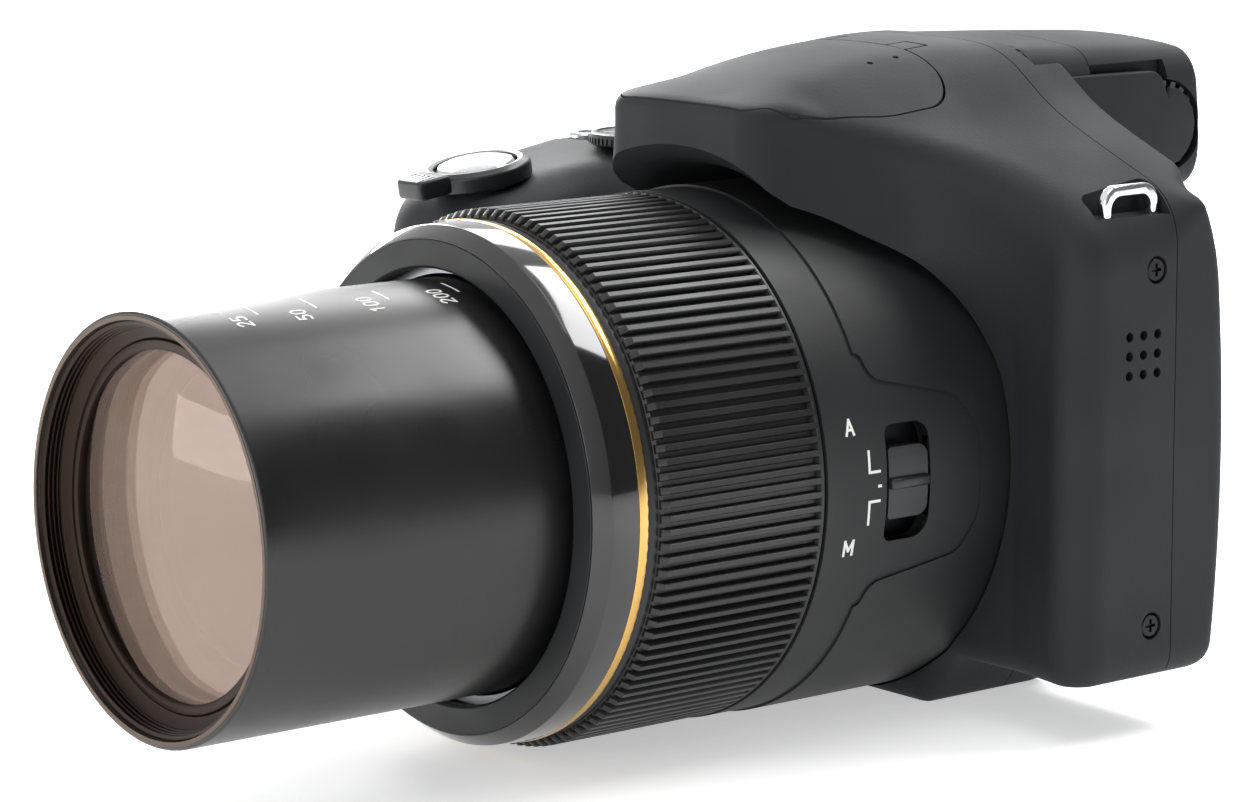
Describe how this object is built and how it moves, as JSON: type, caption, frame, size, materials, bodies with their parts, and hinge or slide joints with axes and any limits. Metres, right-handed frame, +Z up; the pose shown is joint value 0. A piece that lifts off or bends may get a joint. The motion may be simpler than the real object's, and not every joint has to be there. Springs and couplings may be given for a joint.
{
  "type": "bridge camera",
  "caption": "Bridge camera with a long powered zoom lens, ribbed control ring, pop-up flash lid, eye-level finder, deep hand grip and working doors, dials and buttons.",
  "frame": {"origin": "mouth of the tripod socket, in the plane of the base, under the lens axis", "axes": "+Z up, -Y along the lens towards the subject, +X towards the camera's left side (away from the hand grip)"},
  "size_m": [0.1245, 0.1585, 0.0875],
  "materials": {
    "body_plastic": "satin black with a fine moulded texture",
    "grip_skin": "soft matt rubber with a fine grain",
    "barrel_plastic": "satin black",
    "gloss_black": "polished black",
    "gold_trim": "bright gold anodised ring",
    "ring_plastic": "satin black ribs",
    "inner_plastic": "dark brown-black, finely ridged",
    "metal_parts": "machined",
    "steel_parts": "ground steel",
    "chrome_parts": "polished chrome",
    "silver_button": "satin silver",
    "coated_glass": "warm brown anti-reflection coating",
    "clear_glass": "clear",
    "screen_glass": "black polished window",
    "board_green": "solder-masked board",
    "cell_case": "dark grey case",
    "card_case": "blue case",
    "key_plastic": "satin black keys",
    "red_key": "satin red",
    "gear_resin": "natural resin"
  },
  "bodies": {
    "camera": {"front_shell": "body_plastic", "rear_shell": "body_plastic", "base_plate": "body_plastic", "tripod_socket": "metal_parts", "grip_rubber": "grip_skin", "fixed_barrel": "barrel_plastic", "switch_panel": "barrel_plastic", "nose_ring": "gloss_black", "gold_ring": "gold_trim", "guide_barrel": "barrel_plastic", "guide_rods": "steel_parts", "lens_base": "metal_parts", "image_sensor": "cell_case", "sensor_board": "board_green", "zoom_motor": "steel_parts", "main_board": "board_green", "battery": "cell_case", "memory_card": "card_case", "port_sockets": "steel_parts", "speaker": "cell_case", "strap_lug_left": "chrome_parts", "strap_lug_right": "chrome_parts", "case_screws": "steel_parts", "flash_pin": "steel_parts", "finder_housing": "body_plastic", "finder_cap": "body_plastic", "eyepiece_frame": "gloss_black", "eyepiece_lens": "clear_glass", "finder_display": "screen_glass", "screen_panel": "cell_case", "screen_window": "screen_glass"},
    "focus_switch": {"focus_switch": "key_plastic"},
    "control_ring": {"control_ring": "ring_plastic"},
    "zoom": {"zoom_barrel": "barrel_plastic", "front_cell": "inner_plastic", "front_element": "coated_glass", "second_element": "coated_glass"},
    "cam": {"cam_barrel": "metal_parts"},
    "pinion": {"motor_pinion": "gear_resin"},
    "zoom_group": {"zoom_cell": "inner_plastic", "zoom_lens": "clear_glass"},
    "focus_group": {"focus_cell": "inner_plastic", "focus_lens": "clear_glass"},
    "battery_door": {"battery_door": "body_plastic"},
    "port_door": {"port_door": "body_plastic"},
    "flash": {"flash_lid": "body_plastic", "flash_window": "clear_glass", "flash_tube": "clear_glass"},
    "dioptre": {"dioptre_wheel": "key_plastic"},
    "shutter": {"shutter_button": "silver_button"},
    "lever": {"zoom_lever": "gloss_black"},
    "dial": {"mode_dial": "key_plastic"},
    "power": {"power_button": "silver_button"},
    "video": {"video_button": "red_key"},
    "flash_key": {"flash_button": "key_plastic"},
    "menu": {"menu_button": "key_plastic"},
    "play": {"play_button": "key_plastic"},
    "display": {"display_button": "key_plastic"},
    "four_way": {"four_way_ring": "key_plastic"},
    "confirm": {"confirm_button": "key_plastic"}
  },
  "joints": [
    {"name": "focus_switch_turn", "type": "hinge", "parent": "camera", "child": "focus_switch", "pos_m": [0, -0.0237, 0.035], "axis": [0, -1, 0], "range_deg": [-3.5, 3.5]},
    {"name": "control_ring_turn", "type": "hinge", "parent": "camera", "child": "control_ring", "pos_m": [0, -0.051, 0.035], "axis": [0, -1, 0], "continuous": true},
    {"name": "zoom_slide", "type": "slide", "parent": "camera", "child": "zoom", "axis": [0, -1, 0], "range_m": [-0.042, 0.012]},
    {"name": "cam_turn", "type": "hinge", "parent": "camera", "child": "cam", "pos_m": [0, -0.04, 0.035], "axis": [0, -1, 0], "range_deg": [-97, 28]},
    {"name": "pinion_turn", "type": "hinge", "parent": "camera", "child": "pinion", "pos_m": [0.01951, -0.009, 0.05826], "axis": [0, -1, 0], "range_deg": [-310, 1080]},
    {"name": "zoom_group_slide", "type": "slide", "parent": "camera", "child": "zoom_group", "axis": [0, -1, 0], "range_m": [-0.0169, 0.0049]},
    {"name": "focus_group_slide", "type": "slide", "parent": "camera", "child": "focus_group", "axis": [0, -1, 0], "range_m": [-0.003, 0.003]},
    {"name": "battery_door_hinge", "type": "hinge", "parent": "camera", "child": "battery_door", "pos_m": [-0.05, -0.0065, 0.0011], "axis": [0, -1, 0], "range_deg": [0, 95]},
    {"name": "port_door_hinge", "type": "hinge", "parent": "camera", "child": "port_door", "pos_m": [-0.07475, 0.0033, 0.0267], "axis": [0, -1, 0], "range_deg": [0, 100]},
    {"name": "flash_hinge", "type": "hinge", "parent": "camera", "child": "flash", "pos_m": [0, -0.0003, 0.08513], "axis": [-1, 0, 0], "range_deg": [0, 60]},
    {"name": "dioptre_turn", "type": "hinge", "parent": "camera", "child": "dioptre", "pos_m": [0.0184, 0.0369, 0.0746], "axis": [1, 0, 0], "range_deg": [-120, 120]},
    {"name": "shutter_press", "type": "slide", "parent": "camera", "child": "shutter", "axis": [0, 0.1736, -0.9848], "range_m": [0, 0.001], "stiffness_N_per_m": 400, "springref_m": -0.0004},
    {"name": "lever_turn", "type": "hinge", "parent": "camera", "child": "lever", "pos_m": [-0.058, -0.0225, 0.06453], "axis": [0, -0.1736, 0.9848], "range_deg": [-20, 20], "stiffness_Nm_per_rad": 0.03},
    {"name": "dial_turn", "type": "hinge", "parent": "camera", "child": "dial", "pos_m": [-0.052, 0.004, 0.0685], "axis": [0, 0, 1], "continuous": true},
    {"name": "power_press", "type": "slide", "parent": "camera", "child": "power", "axis": [0, 0, -1], "range_m": [0, 0.0006], "stiffness_N_per_m": 400, "springref_m": -0.0004},
    {"name": "video_press", "type": "slide", "parent": "camera", "child": "video", "axis": [0, -1, 0], "range_m": [0, 0.0006], "stiffness_N_per_m": 400, "springref_m": -0.0003},
    {"name": "flash_key_press", "type": "slide", "parent": "camera", "child": "flash_key", "axis": [0, -1, 0], "range_m": [0, 0.0006], "stiffness_N_per_m": 400, "springref_m": -0.0003},
    {"name": "menu_press", "type": "slide", "parent": "camera", "child": "menu", "axis": [0, -1, 0], "range_m": [0, 0.0006], "stiffness_N_per_m": 400, "springref_m": -0.0003},
    {"name": "play_press", "type": "slide", "parent": "camera", "child": "play", "axis": [0, -1, 0], "range_m": [0, 0.0006], "stiffness_N_per_m": 400, "springref_m": -0.0003},
    {"name": "display_press", "type": "slide", "parent": "camera", "child": "display", "axis": [0, -1, 0], "range_m": [0, 0.0006], "stiffness_N_per_m": 400, "springref_m": -0.0003},
    {"name": "four_way_press", "type": "slide", "parent": "camera", "child": "four_way", "axis": [0, -1, 0], "range_m": [0, 0.0006], "stiffness_N_per_m": 400, "springref_m": -0.0003},
    {"name": "confirm_press", "type": "slide", "parent": "camera", "child": "confirm", "axis": [0, -1, 0], "range_m": [0, 0.0006], "stiffness_N_per_m": 400, "springref_m": -0.0003}
  ],
  "couplings": [
    {"joint": "cam_turn", "follows": "zoom_slide", "rad_per_m": 40},
    {"joint": "pinion_turn", "follows": "zoom_slide", "rad_per_m": -448},
    {"joint": "zoom_group_slide", "follows": "zoom_slide", "ratio": 0.4}
  ]
}
